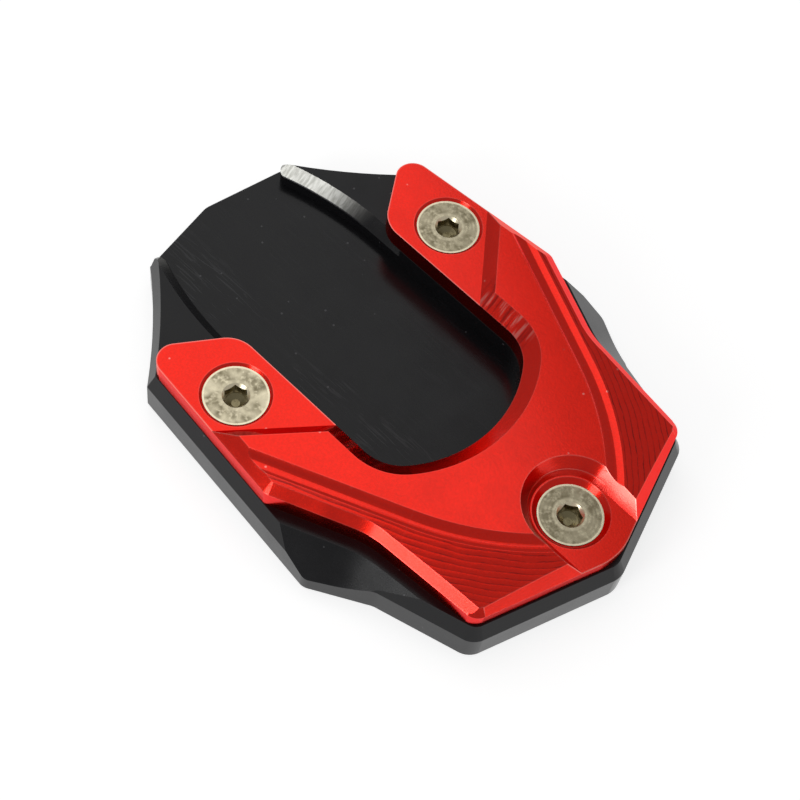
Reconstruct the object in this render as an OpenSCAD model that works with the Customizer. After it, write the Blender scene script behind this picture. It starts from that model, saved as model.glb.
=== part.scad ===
// Kickstand foot enlarger: a black base plate with a pocket for the stand's foot,
// a red clamp plate that holds the foot down, and three countersunk screws.
// Millimetres. +X points to the closed nose, +Z is up, the ground side is Z = 0.
// The part is the same on both sides of the XZ plane.

/* [Base plate] */
// Distance of the nose tip past the middle
base_nose_x = 53.5; // [48:0.1:58]
// Distance of the mouth end behind the middle
base_mouth_x = -53.5; // [-58:0.1:-48]
// Half width at the two side corners
base_half_width = 40; // [37:0.1:43]
// Height of the flat top
base_height = 9.5; // [8.5:0.1:11]
// Height of the upright outer wall, up to the bevel
wall_height = 6.35; // [5.5:0.05:7.5]
// How far the bevel comes in from the outer wall
bevel_run = 1.45; // [1:0.05:1.7]
// Size of the small chamfer along the bottom edge
bottom_break = 0.45; // [0.3:0.05:0.8]
// Slope angle of the broad facet at each side corner
facet_slope = 45; // [42:1:48]
// Radius of the concave flank beside the mouth
flank_radius = 115; // [105:1:125]

/* [Foot pocket] */
// Height of the pocket floor
floor_height = 5; // [3.5:0.1:6]
// Half width between the two arms
foot_half = 18.7; // [18:0.1:19.2]
// Distance of the round pocket end past the middle
foot_end = 19.9; // [19:0.1:21]
// Radius of the pocket end
foot_end_radius = 25.1; // [24:0.1:27]
// Radius of the two pocket end corners
foot_corner_radius = 9.1; // [8:0.1:10]
// Radius of the pocket walls where they close in to the mouth
lead_radius = 69; // [64:1:80]
// Leg of the chamfer along these walls
lead_chamfer = 2.1; // [1.2:0.1:2.3]

/* [Clamp plate] */
// Thickness of the two arm ends
arm_thickness = 4; // [3.6:0.1:4.2]
// Thickness of the middle of the plate
plate_thickness = 6.3; // [6.1:0.1:6.6]
// Gap between the plate's outer wall and the top edge of the base plate
plate_margin = 0.1; // [0.05:0.05:0.6]
// How far the outer chamfer comes in
rim_run = 2.45; // [2:0.05:2.7]
// How far the inner chamfer comes in
inner_run = 2.9; // [2.2:0.05:3.2]
// Width of the slope between arm end and middle, seen from above
step_run = 2.4; // [1.8:0.1:3]
// Height of the upright wall at the nose
nose_wall = 2.9; // [2.6:0.1:3.2]
// Radius of the groove beside the middle
groove_radius = 3; // [2.6:0.1:4]
// Width of the groove
groove_width = 3.2; // [2.8:0.1:3.8]
// How far the groove's outer lip lies below the middle
lip_drop = 0.5; // [0.3:0.05:0.7]
// Slope angle of the milled shoulder outside the groove
shoulder_slope = 7; // [5:0.5:8]
// Half width of the nose recess floor
recess_half = 7.3; // [7.1:0.1:7.8]
// How far the recess wall slopes out
recess_run = 2.25; // [1.5:0.05:2.6]

/* [Screws] */
// Thread size of the three screws
thread_size = 6; // [5:1:6]
// Length of the screws, head included
screw_length = 10; // [8:1:10]
// Diameter of the screw heads
head_diameter = 12; // [11:0.1:12.2]
// Height of the straight rim of the head
head_rim = 0.1; // [0.05:0.05:0.3]
// Width across the flats of the hexagon socket
socket_width = 4; // [3.5:0.5:4]
// Depth of the hexagon socket
socket_depth = 2.3; // [1.5:0.1:2.6]
// Place of the arm screws between foot space and side corner: 0 is inside, 1 is outside
arm_screw_share = 0.41; // [0.38:0.01:0.44]
// Distance of the arm screws behind the middle
arm_screw_x = -15.8; // [-17:0.1:-15]
// Distance of the nose screw past the middle
nose_screw_x = 40.4; // [39.5:0.1:41]
// How far the arm screw heads sit below the arm face
arm_sink = 0.4; // [0.2:0.05:0.6]
// How far the nose screw head sits below the recess floor
nose_sink = 0.85; // [0.3:0.05:1]
// Gap between a screw and the metal round it
clearance = 0.05; // [0.03:0.01:0.08]
// Diameter of the free holes in the clamp plate
free_hole = 6.6; // [6.4:0.1:7]

/* [Hidden] */
$fn = 96;
over = 1;
lead_start = -25.8;
reach = 0.3;
nudge = 0.01;
arm_top = base_height + arm_thickness;
plate_top = base_height + plate_thickness;
nose_top = base_height + nose_wall;
rim_rise = plate_top - arm_top;
rim_foot = arm_top + nudge;
nose_foot = nose_top + nudge;
bevel_drop = base_height - wall_height;

arm_screw_y = foot_half + arm_screw_share * (base_half_width - foot_half);

// Directions of the outer edges, seen from above
nose_slant = 18.42;
side_rise = 5.85;
side_fall = -30.4;

// Lengths of the outer edges, and how far their ends lie inside the side corners
side_x = 15.2;
side_length = 46;
waist_length = 12.78;
shoulder_inset = 11.74;

// Base plate corners before rounding, from the nose to the mouth along the +Y side
nose_radius = 5;
side_radius = 3;
base_nose = [base_nose_x + nose_radius * (1 / cos(nose_slant) - 1), 0];
side_bulge = side_radius
    * (cos((side_rise + side_fall) / 2) / cos((side_rise - side_fall) / 2) - 1);
side_corner = [side_x, base_half_width + side_bulge];
waist_corner = along(side_corner, waist_length, side_fall);
shoulder_y = base_half_width - shoulder_inset;
base_shoulder = [base_nose[0] - shoulder_y * tan(nose_slant), shoulder_y];
back_corner = along(side_corner, -side_length, side_rise);
mouth_bow = 0.1;
mouth_depth = 3.08;
mouth_half = 17.1;
mouth_tip = [base_mouth_x - mouth_bow, 0];
mouth_corner = [base_mouth_x + mouth_depth, mouth_half];
flank_bow = 1.4;
flank_middle = (back_corner + mouth_corner) / 2
    + flank_bow * right_of(back_corner - mouth_corner);
base_side = [base_shoulder, waist_corner, side_corner, back_corner, flank_middle, mouth_corner];
base_side_radii = [4, 5, side_radius, 4, flank_radius, 2];
base_points = concat([base_nose], base_side, [mouth_tip], flipped(base_side));
base_radii = concat([nose_radius], base_side_radii, [5], reversed(base_side_radii));

// Rounded front of each pocket wall: it stands a little behind the mouth edge of the floor
wall_setback = 3.9;
wall_radius = 1.6;
wall_bevel = 1.3;
wall_x = base_mouth_x + wall_setback;
wall_outer = [wall_x, mouth_corner[1] + (wall_x - mouth_corner[0])
    * (flank_middle[1] - mouth_corner[1]) / (flank_middle[0] - mouth_corner[0])];
wall_inner = [wall_x, lead_y(wall_x)];
wall_ahead = [wall_x + 2 * wall_radius, lead_y(wall_x + 2 * wall_radius)];

// Broad facet: its inner edge on the flat top, from the side corner to the nose
facet_start = [5.6, base_half_width - 1.95];
facet_bend = [20.55, base_half_width - 8.6];
facet_end = [40, base_half_width - 10.6];
facet_radius = 25;
facet_width = 12;
facet_length = 20;

// Clamp plate corners before rounding, from the nose to the arm's inner wall
plate_radius = 2.9;
plate_nose_radius = 12;
waist_radius = 18;
nose_facet = 0.7;
plate_nose = [51.9, 0];
plate_shoulder_y = shoulder_y - 0.96;
plate_shoulder = [plate_nose[0] - plate_shoulder_y * tan(nose_slant), plate_shoulder_y];
plate_waist = [19.6, base_half_width - 10.55];
plate_length = 32.7;
tip_length = 3.7;
foot_open_x = -15;
plate_edge_y = back_corner[1] - (bevel_run + plate_margin) / cos(side_rise);
plate_corner = along([back_corner[0], plate_edge_y], plate_length, side_rise);
tip_outer = along([back_corner[0], plate_edge_y], -tip_length, side_rise);
tip_slant = -55.8;
tip_inner = [tip_outer[0] + (foot_half - tip_outer[1]) / tan(tip_slant), foot_half];
foot_open = [foot_open_x, foot_half];
plate_side = [plate_shoulder, plate_waist, plate_corner, tip_outer, tip_inner, foot_open];
tip_outer_radius = 3.5;
tip_inner_radius = 6;
plate_side_radii = [plate_radius, waist_radius, plate_radius, tip_outer_radius, tip_inner_radius, 0];
plate_points = concat([plate_nose], plate_side, flipped(plate_side));
plate_radii = concat([plate_nose_radius], plate_side_radii, reversed(plate_side_radii));

// Pocket end: middles of its round parts
end_middle_x = foot_end - foot_end_radius;
end_corner_y = foot_half - foot_corner_radius;
end_corner_x = end_middle_x
    + sqrt(pow(foot_end_radius - foot_corner_radius, 2) - pow(end_corner_y, 2));
end_turn = atan2(end_corner_y, end_corner_x - end_middle_x);

// Step between arm end and middle: foot of the slope
step_outer = [-13.1, base_half_width - 4.5];
step_slant = -50.8;
step_length = 27;

// Groove: straight along the side, then bent round to the nose
groove_slant = -24;
groove_corner = [22.2, base_half_width - 18.5];
groove_bend = 55;
groove_length = 48;
groove_lap = 0.4;
shoulder_width = 32;
groove_middle = groove_corner - groove_bend * [cos(90 + groove_slant), sin(90 + groove_slant)];
chord = norm([groove_width, lip_drop]);
chord_tilt = atan2(lip_drop, groove_width);
groove_depth_way = sqrt(pow(groove_radius, 2) - pow(chord / 2, 2));
groove_offset = groove_width / 2 + groove_depth_way * sin(chord_tilt);
groove_height = plate_top - lip_drop / 2 + groove_depth_way * cos(chord_tilt);

// Screw sizes
shank_radius = thread_size / 2 - clearance;
cone_height = head_diameter / 2 - shank_radius;
cone_gap = clearance * sqrt(2);
screw_point = 0.8;
rim_break = 0.5;
socket_break = 0.66;
socket_corner = socket_width / 2 / cos(30);
screw_turns = [10, 20, 35];

// The pocket wall's distance from the middle plane where it closes in to the mouth
function lead_y(x) = foot_half - lead_radius + sqrt(pow(lead_radius, 2) - pow(x - lead_start, 2));

// Small helpers for points in the plane
function unit(v) = v / norm(v);
function heading(v) = atan2(v[1], v[0]);
function right_of(v) = unit([v[1], -v[0]]);
function along(p, d, angle) = p + d * [cos(angle), sin(angle)];
function reversed(list) = [for (i = [len(list) - 1 : -1 : 0]) list[i]];
function flipped(list) = [for (p = reversed(list)) [p[0], -p[1]]];
function turns_left(a, b, c) = (b - a)[0] * (c - b)[1] - (b - a)[1] * (c - b)[0] > 0;

// One rounded corner at b between a and c: half its turn, where the arc starts, its middle
function half_turn(a, b, c) = acos(unit(b - a) * unit(c - b)) / 2;
function touch(a, b, c, r) = b + unit(a - b) * r * tan(half_turn(a, b, c));
function middle(a, b, c, r) = b + unit(unit(a - b) + unit(c - b)) * r / cos(half_turn(a, b, c));
function cut_corner(a, b, c, r) = r > 0 ? [touch(a, b, c, r), touch(c, b, a, r)] : [b];

// Plan of an outline that runs with the metal on its left. Its outward corners stay sharp here
// and its inward corners are filled across, until corner_cut gives each its radius
module rough_plan(points, radii) {
    n = len(points);
    polygon([for (i = [0 : n - 1])
        each rough_corner(points[(i + n - 1) % n], points[i], points[(i + 1) % n], radii[i])]);
}

function rough_corner(a, b, c, r) = r == 0 || turns_left(a, b, c)
    ? [b]
    : [touch(a, b, c, r), touch(c, b, a, r)];

// Round cutter for the corner at b. The profile is a list of [way out of the wall, height]
module corner_cut(a, b, c, r, profile) {
    m = middle(a, b, c, r);
    left = turns_left(a, b, c);
    first = left ? touch(a, b, c, r) : touch(c, b, a, r);
    more = left ? 0 : 1.5 * acos(r / (r + nudge));
    end = left ? r / cos(half_turn(a, b, c)) + over : max(r - 13, 0);
    top = profile[len(profile) - 1][1];
    translate([m[0], m[1], 0])
        rotate([0, 0, heading(first - m) - more])
            rotate_extrude(angle = 2 * (half_turn(a, b, c) + more))
                polygon(concat(
                    [for (s = profile) [r + nudge + (left ? s[0] : -s[0]), s[1]]],
                    [[end, top], [end, profile[0][1]]]
                ));
}

// Straight cutter from p to q. Its section is a list of [way to the right, height]
module line_cut(p, q, section) {
    translate([p[0], p[1], 0])
        rotate([0, 0, heading(q - p)])
            rotate([90, 0, 90])
                linear_extrude(norm(q - p))
                    polygon([for (s = section) [-s[0], s[1]]]);
}

// Straight cutter along the edge from b to c, past outward corners and up to inward ones
module side_cut(a, b, c, d, r_b, r_c, section) {
    line_cut(
        turns_left(a, b, c) ? b - over * unit(c - b) : touch(c, b, a, r_b),
        turns_left(b, c, d) ? c + over * unit(c - b) : touch(b, c, d, r_c),
        section
    );
}

// Section that leaves a slope from the height low at the wall to the height high, further in by run
function slope_up(run, low, high) = [
    [over, low - over * (high - low) / run],
    [-run * (1 + reach / (high - low)), high + reach],
    [over, high + reach]
];

// Section that leaves a 45 degree break of the given size at the bottom edge
function bottom_slope(size) = [
    [over, size + over],
    [-size - reach, -reach],
    [over, -reach]
];

// Both halves of something drawn on the +Y side
module both_sides() {
    children();
    mirror([0, 1, 0]) children();
}

// The three screw places with the height of each head's top
module at_arm_screw() {
    translate([arm_screw_x, arm_screw_y, arm_top - arm_sink]) children();
}

module at_nose_screw() {
    translate([nose_screw_x, 0, nose_top - nose_sink]) children();
}

// Plan of the space for the foot, from the given place to its round end
module foot_plan(from) {
    translate([from, -foot_half]) square([end_corner_x - from, 2 * foot_half]);
    translate([end_corner_x, end_corner_y]) circle(foot_corner_radius);
    translate([end_corner_x, -end_corner_y]) circle(foot_corner_radius);
    intersection() {
        translate([end_middle_x, 0]) circle(foot_end_radius);
        polygon([
            [end_middle_x, 0],
            along([end_middle_x, 0], 2 * foot_end_radius, -end_turn),
            along([end_middle_x, 0], 2 * foot_end_radius, end_turn)
        ]);
    }
}

// Plan of the pocket: the curved walls near the mouth, then the foot space
module pocket_plan() {
    intersection() {
        translate([lead_start, foot_half - lead_radius]) circle(lead_radius);
        translate([lead_start, lead_radius - foot_half]) circle(lead_radius);
        translate([base_mouth_x - 5, -foot_half - 5])
            square([lead_start - base_mouth_x + 5, 2 * foot_half + 10]);
    }
    foot_plan(lead_start);
}

// Chamfer along the pocket's wall near the mouth, up to a little way under the arm
module lead_cut() {
    section = slope_up(lead_chamfer, base_height - lead_chamfer, base_height);
    translate([lead_start, foot_half - lead_radius, 0])
        rotate([0, 0, 90])
            rotate_extrude(angle = 28)
                polygon([for (s = section) [lead_radius - s[0], s[1]]]);
    line_cut([lead_start, foot_half], [lead_start + 6, foot_half], section);
}

// Rounded and bevelled front of a pocket wall
module wall_front_cut() {
    foot = base_height - wall_bevel;
    top = base_height + reach / 2;
    profile = [
        [0, floor_height],
        [0, foot - nudge],
        [foot - top, top - nudge]
    ];
    line_cut(wall_outer + [0, over], wall_inner - [0, over], [
        [3 * over, floor_height],
        [0, floor_height],
        [0, foot],
        [foot - top, top],
        [3 * over, top]
    ]);
    corner_cut(flank_middle, wall_outer, wall_inner, wall_radius, profile);
    corner_cut(wall_outer, wall_inner, wall_ahead, wall_radius, profile);
}

// The broad facet that falls to a side corner
module facet_cut() {
    wide = facet_width;
    drop = tan(facet_slope);
    far = along(facet_start, facet_length, heading(facet_start - facet_bend));
    section = [
        [wide, base_height - wide * drop],
        [-reach, base_height + reach * drop],
        [wide, base_height + reach * drop]
    ];
    line_cut(facet_end, touch(facet_end, facet_bend, far, facet_radius), section);
    line_cut(touch(far, facet_bend, facet_end, facet_radius), far, section);
    corner_cut(facet_end, facet_bend, far, facet_radius, [
        [wide, base_height - wide * drop],
        [-reach, base_height + reach * drop]
    ]);
}

// Threaded hole, right through, with its lower rim broken
module thread_hole() {
    cylinder(h = 3 * base_height, d = thread_size, center = true);
}

// The base plate's plan with the slope of one kind along every straight side
module base_sloped() {
    n = len(base_points);
    difference() {
        linear_extrude(base_height) rough_plan(base_points, base_radii);
        for (i = [0 : n - 1])
            side_cut(base_points[(i + n - 1) % n], base_points[i], base_points[(i + 1) % n],
                base_points[(i + 2) % n], base_radii[i], base_radii[(i + 1) % n],
                slope_up(bevel_run, wall_height, base_height));
    }
}

// The same with the small break along the bottom
module base_broken() {
    n = len(base_points);
    difference() {
        base_sloped();
        for (i = [0 : n - 1])
            side_cut(base_points[(i + n - 1) % n], base_points[i], base_points[(i + 1) % n],
                base_points[(i + 2) % n], base_radii[i], base_radii[(i + 1) % n],
                bottom_slope(bottom_break));
    }
}

// The base plate's outer form: the same with every corner rounded
module base_blank() {
    n = len(base_points);
    profile = [
        [-bottom_break - reach, -reach + nudge / 2],
        [0, bottom_break + nudge / 2],
        [0, wall_height - nudge],
        [-bevel_run * (1 + reach / bevel_drop), base_height + reach - nudge]
    ];
    difference() {
        base_broken();
        for (i = [0 : n - 1])
            corner_cut(base_points[(i + n - 1) % n], base_points[i], base_points[(i + 1) % n],
                base_radii[i], profile);
    }
}

// The outer form with its two broad facets
module base_faceted() {
    difference() {
        base_blank();
        both_sides() facet_cut();
    }
}

// The same with the foot pocket milled out
module base_pocketed() {
    difference() {
        base_faceted();
        translate([0, 0, floor_height]) linear_extrude(base_height) pocket_plan();
    }
}

// The same with the chamfers along the pocket's walls
module base_chamfered() {
    difference() {
        base_pocketed();
        both_sides() lead_cut();
    }
}

// The same with the wall fronts at the mouth cut back
module base_fronted() {
    difference() {
        base_chamfered();
        both_sides() wall_front_cut();
    }
}

module base_plate() {
    color([0.09, 0.09, 0.10])
    difference() {
        base_fronted();
        both_sides() translate([arm_screw_x, arm_screw_y, 0]) thread_hole();
        translate([nose_screw_x, 0, 0]) thread_hole();
        both_sides() translate([arm_screw_x, arm_screw_y, 0]) lower_rim();
        translate([nose_screw_x, 0, 0]) lower_rim();
        at_nose_screw() head_seat();
    }
}

// Break at the lower rim of a threaded hole
module lower_rim() {
    translate([0, 0, -over])
        cylinder(h = over + rim_break, r1 = thread_size / 2 + rim_break + over, r2 = thread_size / 2);
}

// Everything above the arm ends, with the slope up to the middle
module arm_cut() {
    wide = 2 * base_half_width;
    line_cut(along(step_outer, -step_length, step_slant), along(step_outer, step_length, step_slant), [
        [wide, arm_top],
        [0, arm_top],
        [-step_run * (1 + reach / rim_rise), plate_top + reach],
        [wide, plate_top + reach]
    ]);
}

// The foot space growing wider towards the top: it leaves the chamfer along the inner edge
module inner_cut() {
    lean = inner_run / (plate_top - rim_foot);
    tall = plate_top - rim_foot + 2 * over;
    low = -lean * over;
    high = low + lean * tall;
    translate([0, 0, rim_foot - over]) {
        translate([2 * foot_open_x, 0, 0])
            rotate([90, 0, 90])
                linear_extrude(end_corner_x - 2 * foot_open_x)
                    polygon([
                        [-foot_half - low, 0],
                        [foot_half + low, 0],
                        [foot_half + high, tall],
                        [-foot_half - high, tall]
                    ]);
        for (side = [-1, 1])
            translate([end_corner_x, side * end_corner_y, 0])
                cylinder(h = tall, r1 = foot_corner_radius + low, r2 = foot_corner_radius + high);
        intersection() {
            translate([end_middle_x, 0, 0])
                cylinder(h = tall, r1 = foot_end_radius + low, r2 = foot_end_radius + high);
            linear_extrude(tall)
                polygon([
                    [end_middle_x, 0],
                    along([end_middle_x, 0], 2 * foot_end_radius, -end_turn),
                    along([end_middle_x, 0], 2 * foot_end_radius, end_turn)
                ]);
        }
    }
}

// Outer edge: the chamfer along the long side and the next side, with the corner and the waist
module rim_cut() {
    section = slope_up(rim_run, rim_foot, plate_top);
    profile = [
        [0, base_height - reach],
        [0, rim_foot - nudge / 2],
        [-rim_run * (1 + reach / (plate_top - rim_foot)), plate_top + reach - nudge / 2]
    ];
    line_cut(plate_corner + over * unit(plate_corner - tip_outer),
        along(tip_outer, plate_length / 2, side_rise), section);
    line_cut(touch(plate_corner, plate_waist, plate_shoulder, waist_radius),
        plate_corner + over * unit(plate_corner - plate_waist), section);
    corner_cut(plate_waist, plate_corner, tip_outer, plate_radius, profile);
    corner_cut(plate_shoulder, plate_waist, plate_corner, waist_radius, profile);
}

// Chamfer from the waist to the nose corner: its foot falls to the height of the nose wall
module falling_cut() {
    p = plate_shoulder;
    q = touch(plate_shoulder, plate_waist, plate_corner, waist_radius);
    lean = rim_run / rim_rise;
    tall = plate_top - nose_foot + over;
    translate([p[0], p[1], nose_foot])
        rotate([0, 0, heading(q - p)])
            rotate([0, -atan2(rim_foot - nose_foot, norm(q - p)), 0])
                translate([-over, 0, 0])
                    rotate([90, 0, 90])
                        linear_extrude(norm(q - p) + over)
                            polygon([[lean * tall, tall], [-lean * over, -over], [-lean * over, tall]]);
}

// Steep facet along the nose edge, and the nose corner
module nose_cut() {
    height = plate_top - nose_foot + reach / 2;
    line_cut(plate_nose, plate_shoulder + over * unit(plate_shoulder - plate_nose),
        slope_up(height * nose_facet, nose_foot, nose_foot + height));
    corner_cut(plate_nose, plate_shoulder, plate_waist, plate_radius, [
        [0, base_height - reach],
        [0, nose_foot - nudge / 2],
        [-0.8 * height, nose_foot + height]
    ]);
}

// Section of the groove beside the middle and of the milled shoulder outside it, grown by more
module groove_section(more) {
    slope = tan(shoulder_slope);
    lip = plate_top - lip_drop - more;
    polygon([
        [groove_width - groove_lap, lip + groove_lap * slope],
        [shoulder_width, lip - (shoulder_width - groove_width) * slope],
        [shoulder_width, plate_top + groove_radius],
        [groove_width - groove_lap, plate_top + groove_radius]
    ]);
    translate([groove_offset, groove_height]) circle(groove_radius + more);
}

// Groove and shoulder: straight along the side, then bent round to the nose
module groove_cut() {
    start = along(groove_corner, -groove_length, groove_slant);
    translate([start[0], start[1], 0])
        rotate([0, 0, groove_slant])
            rotate([90, 0, 90])
                linear_extrude(groove_length + 5 * nudge)
                    groove_section(0);
    translate([groove_middle[0], groove_middle[1], 0])
        rotate([0, 0, 20])
            rotate_extrude(angle = 70 + groove_slant)
                translate([groove_bend, 0]) groove_section(nudge);
}

// Recess round the nose screw, open to the nose
module recess_cut() {
    rise = plate_top - nose_top;
    top = recess_half + recess_run * (rise + over) / rise;
    translate([nose_screw_x, 0, nose_top])
        cylinder(h = rise + over, r1 = recess_half, r2 = top);
    translate([nose_screw_x, 0, nose_top])
        rotate([90, 0, 90])
            linear_extrude(base_nose_x - plate_nose[0] + plate_nose_radius)
                polygon([[-recess_half, 0], [recess_half, 0], [top, rise + over], [-top, rise + over]]);
}

// Countersink for a screw head; the origin is the middle of the head's top
module head_seat() {
    translate([0, 0, -head_rim - cone_height])
        cylinder(
            h = cone_height + 2 * over,
            r1 = shank_radius + cone_gap,
            r2 = head_diameter / 2 + cone_gap + 2 * over
        );
}

// Free hole with its countersink
module screw_seat() {
    cylinder(h = 3 * plate_top, d = free_hole, center = true);
    head_seat();
}

// The clamp plate's outer form, with the space for the foot
module clamp_blank() {
    wall = [[0, base_height - reach], [0, plate_top + reach]];
    difference() {
        translate([0, 0, base_height])
            linear_extrude(plate_thickness)
                rough_plan(plate_points, plate_radii);
        linear_extrude(plate_top + over) foot_plan(foot_open_x);
        corner_cut([plate_shoulder[0], -plate_shoulder[1]], plate_nose, plate_shoulder,
            plate_nose_radius, wall);
        both_sides() {
            corner_cut(plate_corner, tip_outer, tip_inner, tip_outer_radius, wall);
            corner_cut(tip_outer, tip_inner, foot_open, tip_inner_radius, wall);
        }
    }
}

// The same with the arm ends cut down and the inner edge chamfered
module clamp_stepped() {
    difference() {
        clamp_blank();
        both_sides() arm_cut();
        inner_cut();
    }
}

// The same with the groove and the milled shoulder
module clamp_grooved() {
    difference() {
        clamp_stepped();
        both_sides() groove_cut();
    }
}

// The same with the outer chamfers
module clamp_rimmed() {
    difference() {
        clamp_grooved();
        both_sides() rim_cut();
        both_sides() falling_cut();
        both_sides() nose_cut();
    }
}

module clamp_plate() {
    color([0.72, 0.07, 0.05])
    difference() {
        clamp_rimmed();
        recess_cut();
        both_sides() at_arm_screw() screw_seat();
        at_nose_screw() screw_seat();
    }
}

// One countersunk screw with its head's top at the origin; the plain shank stands for the thread
module screw(turn) {
    lead_in = socket_corner + socket_break / 3;
    color([0.62, 0.60, 0.57])
    difference() {
        union() {
            translate([0, 0, -head_rim]) cylinder(h = head_rim, d = head_diameter);
            translate([0, 0, -head_rim - cone_height])
                cylinder(h = cone_height, r1 = shank_radius, r2 = head_diameter / 2);
            translate([0, 0, screw_point - screw_length])
                cylinder(h = screw_length - screw_point - head_rim - cone_height, r = shank_radius);
            translate([0, 0, -screw_length])
                cylinder(h = screw_point, r1 = shank_radius - screw_point, r2 = shank_radius);
        }
        rotate([0, 0, turn])
            translate([0, 0, -socket_depth])
                linear_extrude(socket_depth + over)
                    circle(socket_corner, $fn = 6);
        translate([0, 0, -socket_break])
            cylinder(h = socket_break + over, r1 = lead_in - socket_break, r2 = lead_in + over);
        translate([0, 0, -socket_depth - rim_break])
            cylinder(
                h = rim_break + clearance,
                r1 = socket_width / 5,
                r2 = socket_width / 2 - clearance
            );
    }
}

module screw_left() {
    at_arm_screw() screw(screw_turns[0]);
}

module screw_right() {
    translate([arm_screw_x, -arm_screw_y, arm_top - arm_sink]) screw(screw_turns[1]);
}

module screw_nose() {
    at_nose_screw() screw(screw_turns[2]);
}

base_plate();
clamp_plate();
screw_left();
screw_right();
screw_nose();
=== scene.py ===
"""Looks of the kickstand foot enlarger: anodised plates, countersunk screws, studio and camera."""

import math

import bpy
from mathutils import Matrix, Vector

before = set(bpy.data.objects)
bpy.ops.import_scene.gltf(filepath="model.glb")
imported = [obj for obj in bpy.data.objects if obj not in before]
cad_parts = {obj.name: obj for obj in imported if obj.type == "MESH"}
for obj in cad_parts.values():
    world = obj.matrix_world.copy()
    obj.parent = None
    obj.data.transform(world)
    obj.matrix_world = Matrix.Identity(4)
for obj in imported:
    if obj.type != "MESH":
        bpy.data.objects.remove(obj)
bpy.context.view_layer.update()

bl_info = {
    "name": "Kickstand Foot Enlarger Looks",
    "version": (1, 0, 0),
    "blender": (4, 5, 0),
    "location": "3D View > Sidebar > Foot Enlarger",
    "description": "Finishes, lights and camera for the packed foot enlarger",
    "category": "Object",
}

MM = 0.001

# Sizes of the part that its patterns follow, as its source has them
POCKET_DEPTH = 4.5 * MM
LEAD_IN_DEPTH = 2.1 * MM
SOCKET_WIDTH = 4 * MM
# The groove runs straight at its slant up to its corner, then bends round to the nose
GROOVE_SLANT = math.radians(24)
GROOVE_CORNER = Vector((22.2 * MM, 21.5 * MM, 0))
GROOVE_BEND = 55 * MM
GROOVE_WIDTH = 3.2 * MM

# Tones that the main colours of the plates and screws turn to
BLACK_TOOTH = "#18181A"
# Pale tone of hairlines and dust on the black, also used for the painted highlight on its corners
BLACK_MARKS_AND_SHEEN = "#77777A"
BARE_STROKE = "#A2A29C"
# Deep red of the painted shade between the passes and along the strokes, and of the grain
RED_PAINTED_SHADE_AND_GRAIN = "#8E0E0E"
# Pale pink of dust on the red, and of its painted highlights on corners, recess walls and light
# strokes
RED_DUST_AND_SHEEN = "#FFB0A6"
RED_AT_A_SLANT = "#FFA496"
STEEL_DULL = "#857C63"
# Pale steel of the painted highlights and handling marks on the heads
STEEL_SHEEN_AND_MARKS = "#F5EACB"
STEEL_IN_SOCKET = "#8A8062"

# Name, azimuth and elevation in degrees, distance, width and height, brightness
LAMPS = (
    ("overhead", 158, 57, 0.8, (0.64, 0.64), 0.7),
    ("window", -94, 31, 0.7, (0.22, 0.17), 4.8),
    ("low card", -99, 9, 0.7, (0.36, 0.2), 5),
)


def to_linear(hex_colour):
    """A written sRGB colour such as "#1B1B1D" as the linear RGBA that a shader socket takes."""
    values = [int(hex_colour[i : i + 2], 16) / 255 for i in (1, 3, 5)]
    return (*[v / 12.92 if v <= 0.04045 else ((v + 0.055) / 1.055) ** 2.4 for v in values], 1.0)


def add_node(tree, kind, settings=None, *values, **inputs):
    """Adds a node with its settings, and sets or links its inputs, in order or by name."""
    made = tree.nodes.new(kind)
    for key, value in (settings or {}).items():
        setattr(made, key, value)
    for key, value in [*enumerate(values), *inputs.items()]:
        socket = made.inputs[key if isinstance(key, int) else key.replace("_", " ")]
        if isinstance(value, bpy.types.Node):
            value = value.outputs[0]
        if isinstance(value, bpy.types.NodeSocket):
            tree.links.new(value, socket)
        else:
            socket.default_value = value
    return made


def new_material(name):
    """An empty node material, and its tree."""
    material = bpy.data.materials.new(name)
    material.use_nodes = True
    material.node_tree.nodes.clear()
    return material, material.node_tree


class PlateSettings(bpy.types.PropertyGroup):
    """Colours and finish of the two milled and anodised plates."""

    black: bpy.props.StringProperty(
        name="Black", description="Colour of the base plate, as sRGB hex", default="#0D0D0F"
    )
    black_roughness: bpy.props.FloatProperty(
        name="Black roughness", description="Roughness of the black anodising",
        default=0.2, min=0.05, max=1, subtype="FACTOR",
    )
    bare: bpy.props.StringProperty(
        name="Bare metal", description="Colour of the aluminium where the black is cut away",
        default="#C2C2BD",
    )
    red: bpy.props.StringProperty(
        name="Red", description="Colour of the clamp plate, as sRGB hex", default="#F62411"
    )
    red_roughness: bpy.props.FloatProperty(
        name="Red roughness", description="Roughness of the red anodising",
        default=0.2, min=0.05, max=1, subtype="FACTOR",
    )
    pass_pitch: bpy.props.FloatProperty(
        name="Pass pitch", description="Step between the cutter's passes on the shoulders",
        default=1.1 * MM, min=0.5 * MM, max=3 * MM, unit="LENGTH",
    )


class ScrewSettings(bpy.types.PropertyGroup):
    """Colour and finish of the three screws, and how strong the painted highlights and handling
    marks on each head are.
    """

    steel: bpy.props.StringProperty(
        name="Steel", description="Colour of the screws, as sRGB hex", default="#A89F85"
    )
    roughness: bpy.props.FloatProperty(
        name="Roughness", description="Roughness of the turned heads",
        default=0.26, min=0.05, max=1, subtype="FACTOR",
    )
    # Each screw's setting scales the painted highlights on its head, which stand partly for
    # handling marks
    left_sheen_and_wear: bpy.props.FloatProperty(
        name="Left wear", description="Marks of handling on the left arm's screw, 0 when new",
        default=0.3, min=0, max=1, subtype="FACTOR",
    )
    right_sheen_and_wear: bpy.props.FloatProperty(
        name="Right wear", description="Marks of handling on the right arm's screw, 0 when new",
        default=1, min=0, max=1, subtype="FACTOR",
    )
    nose_sheen_and_wear: bpy.props.FloatProperty(
        name="Nose wear", description="Marks of handling on the nose screw, 0 when new",
        default=0.2, min=0, max=1, subtype="FACTOR",
    )


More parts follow.
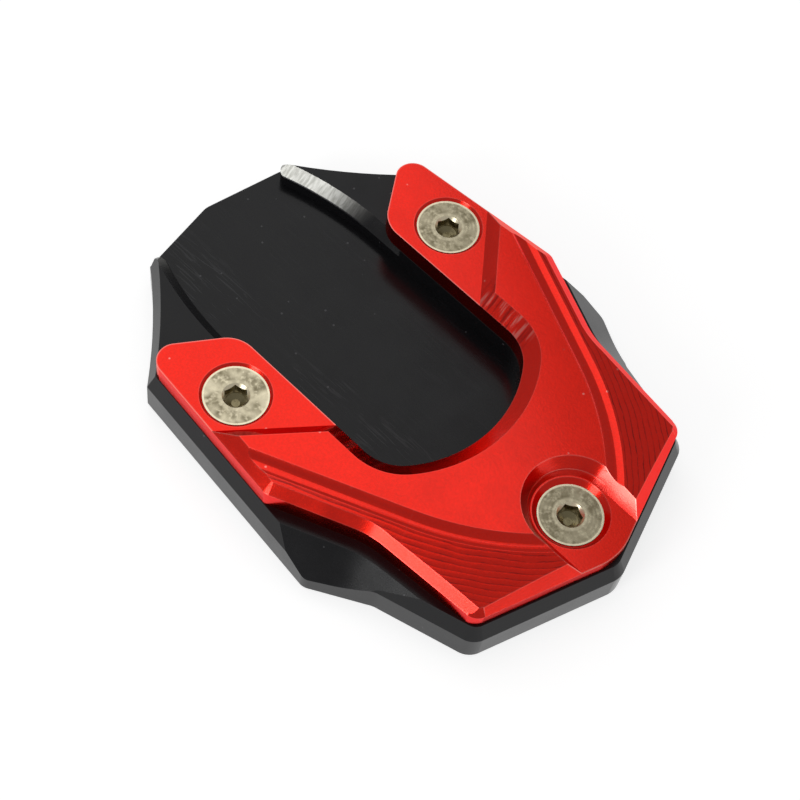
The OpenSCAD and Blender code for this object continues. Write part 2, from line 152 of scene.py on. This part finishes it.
class StageSettings(bpy.types.PropertyGroup):
    """Floor, room light and camera."""

    floor_size: bpy.props.FloatProperty(
        name="Floor size", description="Side of the square floor", default=6, min=1, unit="LENGTH"
    )
    floor: bpy.props.StringProperty(
        name="Floor", description="Colour of the floor, as sRGB hex", default="#BEBEBE"
    )
    room_light: bpy.props.FloatProperty(
        name="Room light", description="Brightness of the even room round the object",
        default=0.38, min=0, max=1,
    )
    camera_place: bpy.props.FloatVectorProperty(
        name="Camera place", description="Where the camera stands",
        default=(0.09267, -0.13595, 0.28141), subtype="TRANSLATION",
    )
    camera_turn: bpy.props.FloatVectorProperty(
        name="Camera turn", description="How the camera is turned",
        default=[math.radians(a) for a in (29.752, -5.875, 44.404)], subtype="EULER",
    )
    camera_lens: bpy.props.FloatProperty(
        name="Lens", description="Focal length in millimetres on a 36 mm wide sensor",
        default=78.267, min=10,
    )


def box_of(node_name):
    """The lowest and highest place of a CAD node on each axis."""
    places = [vertex.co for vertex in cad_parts[node_name].data.vertices]
    return [Vector([pick(place[axis] for place in places) for axis in range(3)])
            for pick in (min, max)]


def specks(tree, place):
    """Bright dots of dust and burr up to 0.5 mm wide, a few on each face."""
    cells = add_node(
        tree, "ShaderNodeTexVoronoi", {"feature": "F1"}, Vector=place, Scale=0.235 / MM
    )
    return add_node(
        tree, "ShaderNodeMapRange", {"interpolation_type": "SMOOTHSTEP"},
        cells.outputs["Distance"], 0.035, 0.065, 1.0, 0.0,
    )


def sharp_edges(tree, width):
    """1 along outward corners, within about the width, and 0 elsewhere."""
    inside = add_node(
        tree, "ShaderNodeAmbientOcclusion", {"samples": 8, "inside": True, "only_local": True},
        Distance=width,
    )
    return add_node(
        tree, "ShaderNodeMapRange", {"interpolation_type": "SMOOTHSTEP"},
        inside.outputs["AO"], 0.97, 0.6, 0.0, 1.0,
    )


def band(tree, value, low, high, blur):
    """1 where the value lies between low and high, else 0."""
    middle, half = (low + high) / 2, (high - low) / 2
    off = add_node(tree, "ShaderNodeMath", {"operation": "SUBTRACT"}, value, middle)
    off = add_node(tree, "ShaderNodeMath", {"operation": "ABSOLUTE"}, off)
    return add_node(
        tree, "ShaderNodeMapRange", {"interpolation_type": "SMOOTHSTEP"},
        off, half - blur, half + blur, 1.0, 0.0,
    )


def bare_lead_in(tree, spot, lean):
    """1 on the two chamfers of the pocket's mouth, where the black was cut away."""
    # They face half up, and end at the plate's top
    top = box_of("base_plate")[1].z
    facing = band(tree, lean.outputs["Z"], 0.62, 0.8, 0.02)
    above = band(tree, spot.outputs["Z"],
                 top - LEAD_IN_DEPTH + 0.15 * MM, top + 0.5 * MM, 0.05 * MM)
    # The black returns inward, further in on one side than on the other, as the cutter left it
    inward = add_node(tree, "ShaderNodeMath", {"operation": "MULTIPLY_ADD"},
                      spot.outputs["Y"], -0.45, spot.outputs["X"])
    inward = add_node(
        tree, "ShaderNodeMapRange", {"interpolation_type": "SMOOTHSTEP"},
        inward, -51 * MM, -37 * MM, 1.0, 0.0,
    )
    bare = add_node(tree, "ShaderNodeMath", {"operation": "MULTIPLY"}, facing, above)
    return add_node(tree, "ShaderNodeMath", {"operation": "MULTIPLY"}, bare, inward)


def hairlines(tree, place, spot, lean):
    """Scratches on the pocket's floor from the stand's foot: 0.5 mm wide, so that they show."""
    slid = add_node(
        tree, "ShaderNodeMapping", None,
        Vector=place, Rotation=(0, 0, math.radians(13)), Scale=(0.12, 1.5, 0.3),
    )
    lines = add_node(tree, "ShaderNodeTexNoise", None,
                     Vector=slid, Scale=1 / MM, Detail=3.0, Distortion=1.2)
    lines = add_node(
        tree, "ShaderNodeMapRange", {"interpolation_type": "SMOOTHSTEP"},
        lines, 0.53, 0.63, 0.0, 1.0,
    )
    # They come in patches about 9 mm wide, and mostly along one side
    patches = add_node(tree, "ShaderNodeTexNoise", None,
                       Vector=place, Scale=1 / (9 * MM), Detail=2.0)
    patches = add_node(tree, "ShaderNodeMapRange", None, patches, 0.46, 0.6, 0.1, 1.0)
    patch_share = band(tree, spot.outputs["Y"], -19 * MM, -7 * MM, 3 * MM)
    patch_share = add_node(tree, "ShaderNodeMath", {"operation": "MAXIMUM"}, patch_share, 0.15)
    lines = add_node(tree, "ShaderNodeMath", {"operation": "MULTIPLY"}, lines, patches)
    lines = add_node(tree, "ShaderNodeMath", {"operation": "MULTIPLY"}, lines, patch_share)
    # Only level faces at the height of the floor
    floor = box_of("base_plate")[1].z - POCKET_DEPTH
    level = band(tree, lean.outputs["Z"], 0.999, 1.1, 0.0005)
    pocket = band(tree, spot.outputs["Z"], floor - 0.3 * MM, floor + 0.3 * MM, 0.05 * MM)
    lines = add_node(tree, "ShaderNodeMath", {"operation": "MULTIPLY"}, lines, level)
    return add_node(tree, "ShaderNodeMath", {"operation": "MULTIPLY"}, lines, pocket)


def black_anodised():
    """The base plate: milled and blasted, dyed black, with a lead-in cut later through it."""
    # Anodised aluminium: a thin glassy oxide over fine-blasted metal gives a deep satin black
    # that shows dust, hairlines and soft lights; the cut chamfers of the mouth are bare and bright
    plates = bpy.context.scene.enlarger_plates
    material, tree = new_material("Black anodised aluminium, satin")
    place = add_node(tree, "ShaderNodeTexCoord").outputs["Object"]
    spot = add_node(tree, "ShaderNodeSeparateXYZ", None, place)
    lean = add_node(tree, "ShaderNodeSeparateXYZ", None,
                    add_node(tree, "ShaderNodeNewGeometry").outputs["True Normal"])

    # Blasted tooth, 0.5 mm here so that it shows
    grain = add_node(tree, "ShaderNodeTexNoise", None,
                     Vector=place, Scale=1 / (0.5 * MM), Detail=3.0)
    dyed = add_node(tree, "ShaderNodeMixRGB", None,
                    grain, to_linear(plates.black), to_linear(BLACK_TOOTH))
    # Hairlines and dust are paler, and the outward corners get a painted highlight in the same
    # pale tone
    marks_and_edge_sheen = add_node(tree, "ShaderNodeMath", {"operation": "MULTIPLY"},
                    hairlines(tree, place, spot, lean), 0.14)
    marks_and_edge_sheen = add_node(tree, "ShaderNodeMath", {"operation": "MULTIPLY_ADD"},
                    specks(tree, place), 0.35, marks_and_edge_sheen)
    # Painted highlight along the outward corners
    marks_and_edge_sheen = add_node(tree, "ShaderNodeMath", {"operation": "MULTIPLY_ADD"},
                    sharp_edges(tree, 0.3 * MM), 0.12, marks_and_edge_sheen)
    colour = add_node(tree, "ShaderNodeMixRGB", None, marks_and_edge_sheen, dyed, to_linear(BLACK_MARKS_AND_SHEEN))

    # The cutter's strokes, 0.4 mm apart, cross the bare chamfers and spread their lights
    bare = bare_lead_in(tree, spot, lean)
    strokes = add_node(tree, "ShaderNodeMapping", None, Vector=place, Scale=(2.6, 0.4, 0.4))
    strokes = add_node(tree, "ShaderNodeTexNoise", None, Vector=strokes, Scale=1 / MM, Detail=3.0)
    streaks = add_node(tree, "ShaderNodeMapRange", None, strokes, 0.38, 0.6, 0.0, 1.0)
    cut = add_node(tree, "ShaderNodeMixRGB", None,
                   streaks, to_linear(BARE_STROKE), to_linear(plates.bare))
    colour = add_node(tree, "ShaderNodeMixRGB", None, bare, colour, cut)

    # The satin varies softly over about 7 mm, and the cut metal is rougher
    gloss = add_node(tree, "ShaderNodeTexNoise", None,
                     Vector=place, Scale=1 / (7 * MM), Detail=4.0)
    gloss = add_node(
        tree, "ShaderNodeMapRange", None,
        gloss, 0.3, 0.7, plates.black_roughness - 0.03, plates.black_roughness + 0.06,
    )
    gloss = add_node(tree, "ShaderNodeMath", {"operation": "MULTIPLY_ADD"}, bare, 0.16, gloss)
    strokes = add_node(tree, "ShaderNodeMath", {"operation": "MULTIPLY"}, strokes, bare)
    height = add_node(tree, "ShaderNodeMath", {"operation": "MULTIPLY_ADD"}, strokes, 2.5, grain)
    bump = add_node(tree, "ShaderNodeBump", None,
                    Strength=0.35, Distance=0.012 * MM, Height=height)
    shader = add_node(
        tree, "ShaderNodeBsdfPrincipled", None,
        Base_Color=colour, Metallic=bare, Roughness=gloss, IOR=1.34, Normal=bump,
    )
    add_node(tree, "ShaderNodeOutputMaterial", None, Surface=shader)
    return material


def passes(tree, place, spot, side, lean, pitch):
    """What the ball cutter leaves: ridges, 0 in a valley and 0.25 on a crest, the shoulders
    that have them, and the fine lines in the groove."""
    # How far each spot lies outside the groove: across its straight run, then round its bend
    way_across = Vector((math.sin(GROOVE_SLANT), math.cos(GROOVE_SLANT), 0))
    way_along = Vector((math.cos(GROOVE_SLANT), -math.sin(GROOVE_SLANT), 0))
    middle = GROOVE_CORNER - GROOVE_BEND * way_across
    flat = add_node(tree, "ShaderNodeCombineXYZ", None, spot.outputs["X"], side)
    arm = add_node(tree, "ShaderNodeVectorMath", {"operation": "SUBTRACT"}, flat, middle)
    across = add_node(tree, "ShaderNodeVectorMath", {"operation": "DOT_PRODUCT"},
                      arm, way_across).outputs["Value"]
    along = add_node(tree, "ShaderNodeVectorMath", {"operation": "DOT_PRODUCT"},
                     arm, way_along).outputs["Value"]
    bent = add_node(tree, "ShaderNodeMath", {"operation": "MAXIMUM"}, along, 0.0)
    reach = add_node(tree, "ShaderNodeVectorMath", {"operation": "LENGTH"},
                     add_node(tree, "ShaderNodeCombineXYZ", None, across, bent)).outputs["Value"]
    outside = add_node(tree, "ShaderNodeMath", {"operation": "SUBTRACT"},
                       reach, GROOVE_BEND + GROOVE_WIDTH)

    # Round crests with thin valleys between them, which wander a little
    wander = add_node(tree, "ShaderNodeTexNoise", None,
                      Vector=place, Scale=1 / (5 * MM), Detail=3.0)
    turn = add_node(tree, "ShaderNodeMath", {"operation": "DIVIDE"}, outside, pitch)
    turn = add_node(tree, "ShaderNodeMath", {"operation": "MULTIPLY_ADD"}, wander, 0.9, turn)
    share = add_node(tree, "ShaderNodeMath", {"operation": "FRACT"}, turn)
    other = add_node(tree, "ShaderNodeMath", {"operation": "SUBTRACT"}, 1.0, share)
    ridge = add_node(tree, "ShaderNodeMath", {"operation": "MULTIPLY"}, share, other)
    # The shoulders are the faces past the groove that lean by 4 to 9 degrees
    sloped = band(tree, lean.outputs["Z"], 0.987, 0.9975, 0.0005)
    beyond = add_node(tree, "ShaderNodeMapRange", None, outside, 0.0, 0.1 * MM, 0.0, 1.0)
    sloped = add_node(tree, "ShaderNodeMath", {"operation": "MULTIPLY"}, sloped, beyond)

    # The groove itself shows finer lines, 0.5 mm apart
    groove = add_node(tree, "ShaderNodeMath", {"operation": "MULTIPLY"},
                      band(tree, outside, -GROOVE_WIDTH - 0.1 * MM, -0.1 * MM, 0.05 * MM),
                      band(tree, lean.outputs["Z"], 0.75, 0.9995, 0.0004))
    fine = add_node(tree, "ShaderNodeMath", {"operation": "MULTIPLY"},
                    outside, math.tau / (0.5 * MM))
    fine = add_node(tree, "ShaderNodeMath", {"operation": "SINE"}, fine)
    fine = add_node(tree, "ShaderNodeMath", {"operation": "MULTIPLY"}, fine, groove)
    return ridge, sloped, fine


def chatter_strokes(tree, place, spot, side, lean):
    """Strokes of the cutter where it turned round the corners of the U: their height, and a
    painted highlight and a painted shade along them.
    """
    chamfer = band(tree, lean.outputs["Z"], 0.6, 0.82, 0.02)
    corner = band(tree, spot.outputs["X"], -1 * MM, 12 * MM, 1 * MM)
    slot = band(tree, side, 10 * MM, 26 * MM, 1 * MM)
    turned = add_node(tree, "ShaderNodeMath", {"operation": "MULTIPLY"}, chamfer, corner)
    turned = add_node(tree, "ShaderNodeMath", {"operation": "MULTIPLY"}, turned, slot)
    strokes = add_node(tree, "ShaderNodeMapping", None, Vector=place, Scale=(1.3, 0.12, 0.12))
    strokes = add_node(tree, "ShaderNodeTexNoise", None, Vector=strokes, Scale=1 / MM, Detail=2.0)
    # Painted highlight and painted shade along the strokes: lighter and darker copies of their
    # pattern
    light = add_node(tree, "ShaderNodeMapRange", None, strokes, 0.57, 0.64, 0.0, 0.4)
    painted_stroke_shade = add_node(tree, "ShaderNodeMapRange", None, strokes, 0.52, 0.4, 0.0, 0.6)
    return [
        add_node(tree, "ShaderNodeMath", {"operation": "MULTIPLY"}, part, turned)
        for part in (strokes, light, painted_stroke_shade)
    ]


def red_anodised():
    """The clamp plate: milled, finely blasted and dyed red."""
    # Anodised aluminium: clear red dye in a glassy oxide over metal; flats have a fine tooth,
    # the shoulders show the cutter's passes, and lights on the oxide look paler than the dye
    plates = bpy.context.scene.enlarger_plates
    material, tree = new_material("Red anodised aluminium, satin")
    place = add_node(tree, "ShaderNodeTexCoord").outputs["Object"]
    spot = add_node(tree, "ShaderNodeSeparateXYZ", None, place)
    side = add_node(tree, "ShaderNodeMath", {"operation": "ABSOLUTE"}, spot.outputs["Y"])
    lean = add_node(tree, "ShaderNodeSeparateXYZ", None,
                    add_node(tree, "ShaderNodeNewGeometry").outputs["True Normal"])
    ridge, shoulder, fine = passes(tree, place, spot, side, lean, plates.pass_pitch)
    strokes, light, painted_stroke_shade = chatter_strokes(tree, place, spot, side, lean)
    # Blasted tooth, 0.4 mm here so that it shows
    grain = add_node(tree, "ShaderNodeTexNoise", None,
                     Vector=place, Scale=1 / (0.4 * MM), Detail=3.0)

    # Painted shade: the red is darkened between the cutter's passes, in some places more than in
    # others, and along the shaded strokes; the grain also darkens it a little at random
    deep = add_node(tree, "ShaderNodeMapRange", None, ridge, 0.0, 0.14, 1.0, 0.0)
    deep = add_node(tree, "ShaderNodeMath", {"operation": "MULTIPLY"}, deep, shoulder)
    painted_shade_patches = add_node(tree, "ShaderNodeTexNoise", None,
                       Vector=place, Scale=1 / (2.5 * MM), Detail=2.0)
    painted_shade_patches = add_node(tree, "ShaderNodeMapRange", None, painted_shade_patches, 0.35, 0.65, 0.25, 0.9)
    deep = add_node(tree, "ShaderNodeMath", {"operation": "MULTIPLY"}, deep, painted_shade_patches)
    tooth = add_node(tree, "ShaderNodeMapRange", None, grain, 0.35, 0.65, 0.1, 0.0)
    deep = add_node(tree, "ShaderNodeMath", {"operation": "ADD"}, deep, tooth)
    deep = add_node(tree, "ShaderNodeMath", {"operation": "ADD"}, deep, painted_stroke_shade)
    colour = add_node(tree, "ShaderNodeMixRGB", None,
                      deep, to_linear(plates.red), to_linear(RED_PAINTED_SHADE_AND_GRAIN))

    # Dust is pale, and the outward corners get a painted highlight in the same pale tone
    pale = add_node(tree, "ShaderNodeMath", {"operation": "MULTIPLY"}, specks(tree, place), 0.5)
    edges = add_node(tree, "ShaderNodeMath", {"operation": "MULTIPLY"},
                     sharp_edges(tree, 0.3 * MM), 0.5)
    # Painted reflection: the two walls of the nose screw's recess are mixed a little towards the
    # pale tone
    steep = add_node(tree, "ShaderNodeMath", {"operation": "ABSOLUTE"}, lean.outputs["Y"])
    walls = band(tree, steep, 0.815, 0.845, 0.003)
    nose = band(tree, spot.outputs["X"], 39 * MM, 55 * MM, 0.5 * MM)
    walls = add_node(tree, "ShaderNodeMath", {"operation": "MULTIPLY"}, walls, nose)
    walls = add_node(tree, "ShaderNodeMath", {"operation": "MULTIPLY"}, walls, 0.13)
    # The painted highlights on corners, recess walls and light strokes join the dust's pale tone
    # here
    for part in (edges, walls, light):
        pale = add_node(tree, "ShaderNodeMath", {"operation": "MAXIMUM"}, pale, part)
    colour = add_node(tree, "ShaderNodeMixRGB", None, pale, colour, to_linear(RED_DUST_AND_SHEEN))

    # The satin varies softly over about 6 mm
    gloss = add_node(tree, "ShaderNodeTexNoise", None,
                     Vector=place, Scale=1 / (6 * MM), Detail=4.0)
    gloss = add_node(
        tree, "ShaderNodeMapRange", None,
        gloss, 0.3, 0.7, plates.red_roughness - 0.03, plates.red_roughness + 0.05,
    )
    height = add_node(tree, "ShaderNodeMath", {"operation": "MULTIPLY"}, ridge, shoulder)
    for part, share in ((fine, 0.035), (grain, 0.12), (strokes, 0.9)):
        height = add_node(tree, "ShaderNodeMath", {"operation": "MULTIPLY_ADD"},
                          part, share, height)
    bump = add_node(tree, "ShaderNodeBump", None, Strength=0.8, Distance=0.1 * MM, Height=height)
    # Seen at a slant the dye keeps its red, and the coat is the clear oxide over it
    shader = add_node(
        tree, "ShaderNodeBsdfPrincipled", None,
        Base_Color=colour, Roughness=gloss, Metallic=1.0, Normal=bump,
        Specular_Tint=to_linear(RED_AT_A_SLANT),
        Coat_Weight=0.3, Coat_Roughness=0.12, Coat_IOR=1.6,
    )
    add_node(tree, "ShaderNodeOutputMaterial", None, Surface=shader)
    return material


def turned_steel(node_name, name, sheen_and_wear):
    """A steel screw, turned round its own middle; sheen_and_wear runs from 0 for a plain head to 1
    and scales its painted highlights and handling marks.
    """
    # Stainless steel: faint turning rings and dull blotches under a warm shine, with painted
    # highlights that stand partly for handling marks
    screws = bpy.context.scene.enlarger_screws
    material, tree = new_material("Stainless steel, turned, " + name)
    place = add_node(tree, "ShaderNodeTexCoord").outputs["Object"]
    low, high = box_of(node_name)
    spot = add_node(tree, "ShaderNodeMapping", None, Vector=place,
                    Location=(-(low.x + high.x) / 2, -(low.y + high.y) / 2, 0))
    flat = add_node(tree, "ShaderNodeVectorMath", {"operation": "MULTIPLY"}, spot, (1, 1, 0))
    reach = add_node(tree, "ShaderNodeVectorMath", {"operation": "LENGTH"}, flat).outputs["Value"]
    lean = add_node(tree, "ShaderNodeSeparateXYZ", None,
                    add_node(tree, "ShaderNodeNewGeometry").outputs["True Normal"])

    # Rings 0.7 mm apart, coarser than the real ones, so that they show
    rings = add_node(tree, "ShaderNodeMath", {"operation": "MULTIPLY"},
                     reach, math.tau / (0.7 * MM))
    rings = add_node(tree, "ShaderNodeMath", {"operation": "SINE"}, rings)
    # Blots drawn out like spokes, from the die and the driver
    way = add_node(tree, "ShaderNodeVectorMath", {"operation": "NORMALIZE"}, flat)
    spokes = add_node(tree, "ShaderNodeVectorMath", {"operation": "MULTIPLY_ADD"},
                      flat, (0.35 / MM, 0.35 / MM, 0), way)
    blots = add_node(tree, "ShaderNodeTexNoise", None, Vector=spokes, Scale=1.5, Detail=4.0)
    dull = add_node(
        tree, "ShaderNodeMapRange", {"interpolation_type": "SMOOTHSTEP"},
        blots, 0.35, 0.65, 0.0, 1.0,
    )
    colour = add_node(tree, "ShaderNodeMixRGB", None,
                      dull, to_linear(screws.steel), to_linear(STEEL_DULL))

    # Painted highlights, partly handling marks: bright marks 0.8 mm wide and broad soft bright
    # patches, stronger with more sheen_and_wear
    marks = add_node(tree, "ShaderNodeTexNoise", None,
                     Vector=spot, Scale=1 / (0.8 * MM), Detail=4.0)
    bright = add_node(tree, "ShaderNodeMapRange", None, marks, 0.48, 0.68, 0.0, 0.3 + 0.4 * sheen_and_wear)
    patch_share = add_node(tree, "ShaderNodeTexNoise", None,
                      Vector=spot, Scale=1 / (4.5 * MM), Detail=2.0)
    patch_share = add_node(tree, "ShaderNodeMapRange", {"interpolation_type": "SMOOTHSTEP"},
                      patch_share, 0.42, 0.62, 0.0, 1.0)
    patch_share = add_node(tree, "ShaderNodeMath", {"operation": "MULTIPLY"}, patch_share, 0.15 + 0.5 * sheen_and_wear)
    # Painted highlights: the mouth of the socket, a ring round it and the outward corners are made
    # bright
    mouth = add_node(tree, "ShaderNodeMath", {"operation": "MULTIPLY"},
                     band(tree, lean.outputs["Z"], 0.35, 0.95, 0.02),
                     band(tree, reach, SOCKET_WIDTH / 2 - 0.02 * MM, 7 * MM, 0.02 * MM))
    ring_sheen = add_node(tree, "ShaderNodeMath", {"operation": "MULTIPLY"},
                       band(tree, reach, 2.4 * MM, 3.3 * MM, 0.35 * MM), 0.45)
    for part in (patch_share, mouth, ring_sheen, sharp_edges(tree, 0.4 * MM)):
        bright = add_node(tree, "ShaderNodeMath", {"operation": "MAXIMUM"}, bright, part)
    # Down in the socket the steel is coloured a darker olive
    deep = band(tree, reach, -1 * MM, SOCKET_WIDTH / 2 - 0.03 * MM, 0.02 * MM)
    # The painted highlights and handling marks are mixed in here
    colour = add_node(tree, "ShaderNodeMixRGB", None, bright, colour, to_linear(STEEL_SHEEN_AND_MARKS))
    colour = add_node(tree, "ShaderNodeMixRGB", None, deep, colour, to_linear(STEEL_IN_SOCKET))

    gloss = add_node(
        tree, "ShaderNodeMapRange", None,
        blots, 0.3, 0.7, screws.roughness - 0.06, screws.roughness + 0.12,
    )
    height = add_node(tree, "ShaderNodeMath", {"operation": "MULTIPLY_ADD"}, rings, 0.25, marks)
    bump = add_node(tree, "ShaderNodeBump", None, Strength=0.5, Distance=0.02 * MM, Height=height)
    shader = add_node(
        tree, "ShaderNodeBsdfPrincipled", None,
        Base_Color=colour, Roughness=gloss, Metallic=1.0, Normal=bump,
    )
    add_node(tree, "ShaderNodeOutputMaterial", None, Surface=shader)
    return material


def dress(node_name, material):
    """Gives a CAD node its material, in every slot."""
    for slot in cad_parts[node_name].material_slots:
        slot.material = material


def make_floor(size, colour):
    """A plain white floor that keeps the object's shadow and shows in reflections."""
    bpy.ops.object.select_all(action="DESELECT")
    # A hair below the plate, so that the two faces don't fight when seen from below
    bpy.ops.mesh.primitive_plane_add(size=size, location=(0, 0, -0.02 * MM))
    floor = bpy.context.object
    floor.name = "floor"
    # Painted board: matt and even, with no shine of its own; it only looks white to the camera
    # and in reflections, so that it lights the object no more than a grey table does
    material, tree = new_material("White table")
    path = add_node(tree, "ShaderNodeLightPath")
    seen = path.outputs["Is Camera Ray"]
    for ray in ("Is Glossy Ray", "Is Transmission Ray"):
        seen = add_node(tree, "ShaderNodeMath", {"operation": "MAXIMUM"}, seen, path.outputs[ray])
    lift = add_node(tree, "ShaderNodeMath", {"operation": "MULTIPLY"}, seen, 0.74)
    shader = add_node(
        tree, "ShaderNodeBsdfPrincipled", None,
        Base_Color=to_linear(colour), Roughness=0.9, Specular_IOR_Level=0.0,
        Emission_Color=(1, 1, 1, 1), Emission_Strength=lift,
    )
    add_node(tree, "ShaderNodeOutputMaterial", None, Surface=shader)
    floor.data.materials.append(material)


def soft_lamp(name, azimuth, elevation, distance, size, brightness):
    """A soft lamp of one brightness that looks at the object from a direction in degrees."""
    turn = math.radians(azimuth)
    rise = math.radians(elevation)
    way = Vector((
        math.cos(turn) * math.cos(rise), math.sin(turn) * math.cos(rise), math.sin(rise)
    ))
    bpy.ops.object.light_add(type="AREA", location=way * distance)
    lamp = bpy.context.object
    lamp.name = name
    lamp.rotation_mode = "QUATERNION"
    lamp.rotation_quaternion = way.to_track_quat("Z", "Y")
    lamp.data.shape = "RECTANGLE"
    lamp.data.size, lamp.data.size_y = size
    lamp.data.energy = brightness * math.pi * size[0] * size[1]
    lamp.visible_camera = False


def make_lights(room_light):
    """A plain studio: an even pale room and soft lamps."""
    world = bpy.data.worlds.new("Pale room")
    world.use_nodes = True
    world.node_tree.nodes.clear()
    room = add_node(world.node_tree, "ShaderNodeBackground", None,
                    Color=(1, 1, 1, 1), Strength=room_light)
    add_node(world.node_tree, "ShaderNodeOutputWorld", None, Surface=room)
    bpy.context.scene.world = world
    for lamp in LAMPS:
        soft_lamp(*lamp)


def make_camera(stage):
    """The photograph's view."""
    bpy.ops.object.camera_add(location=stage.camera_place, rotation=stage.camera_turn)
    camera = bpy.context.object
    camera.data.sensor_width = 36
    camera.data.lens = stage.camera_lens
    camera.data.clip_start = 0.01
    bpy.context.scene.camera = camera
    bpy.context.scene.view_settings.view_transform = "Standard"


class ENLARGER_OT_base_plate(bpy.types.Operator):
    """Gives the base plate its black anodised finish"""

    bl_idname = "enlarger.base_plate"
    bl_label = "Base plate"

    def execute(self, context):
        dress("base_plate", black_anodised())
        return {"FINISHED"}


class ENLARGER_OT_clamp_plate(bpy.types.Operator):
    """Gives the clamp plate its red anodised finish"""

    bl_idname = "enlarger.clamp_plate"
    bl_label = "Clamp plate"

    def execute(self, context):
        dress("clamp_plate", red_anodised())
        return {"FINISHED"}


class ENLARGER_OT_screws(bpy.types.Operator):
    """Gives the three screws their steel"""

    bl_idname = "enlarger.screws"
    bl_label = "Screws"

    def execute(self, context):
        screws = context.scene.enlarger_screws
        for node_name, name, sheen_and_wear in (
            ("screw_left", "left arm", screws.left_sheen_and_wear),
            ("screw_right", "right arm", screws.right_sheen_and_wear),
            ("screw_nose", "nose", screws.nose_sheen_and_wear),
        ):
            dress(node_name, turned_steel(node_name, name, sheen_and_wear))
        return {"FINISHED"}


class ENLARGER_OT_stage(bpy.types.Operator):
    """Makes the floor, the lights and the camera"""

    bl_idname = "enlarger.stage"
    bl_label = "Stage"

    def execute(self, context):
        stage = context.scene.enlarger_stage
        make_floor(stage.floor_size, stage.floor)
        make_lights(stage.room_light)
        make_camera(stage)
        return {"FINISHED"}


class ENLARGER_PT_panel(bpy.types.Panel):
    """Lists the steps and their settings"""

    bl_idname = "ENLARGER_PT_panel"
    bl_label = "Foot Enlarger"
    bl_space_type = "VIEW_3D"
    bl_region_type = "UI"
    bl_category = "Foot Enlarger"

    def draw(self, context):
        for name, settings in GROUPS.items():
            for key in settings.__annotations__:
                self.layout.prop(getattr(context.scene, name), key)
        for operator in OPERATORS:
            self.layout.operator(operator.bl_idname)


GROUPS = {
    "enlarger_plates": PlateSettings,
    "enlarger_screws": ScrewSettings,
    "enlarger_stage": StageSettings,
}
OPERATORS = (
    ENLARGER_OT_stage,
    ENLARGER_OT_base_plate,
    ENLARGER_OT_clamp_plate,
    ENLARGER_OT_screws,
)


def register():
    for name, group in GROUPS.items():
        bpy.utils.register_class(group)
        setattr(bpy.types.Scene, name, bpy.props.PointerProperty(type=group))
    for item in (*OPERATORS, ENLARGER_PT_panel):
        bpy.utils.register_class(item)


def unregister():
    for item in (ENLARGER_PT_panel, *reversed(OPERATORS)):
        bpy.utils.unregister_class(item)
    for name, group in GROUPS.items():
        delattr(bpy.types.Scene, name)
        bpy.utils.unregister_class(group)


def main():
    register()
    bpy.ops.enlarger.stage()
    bpy.ops.enlarger.base_plate()
    bpy.ops.enlarger.clamp_plate()
    bpy.ops.enlarger.screws()


if __name__ == "__main__":
    main()
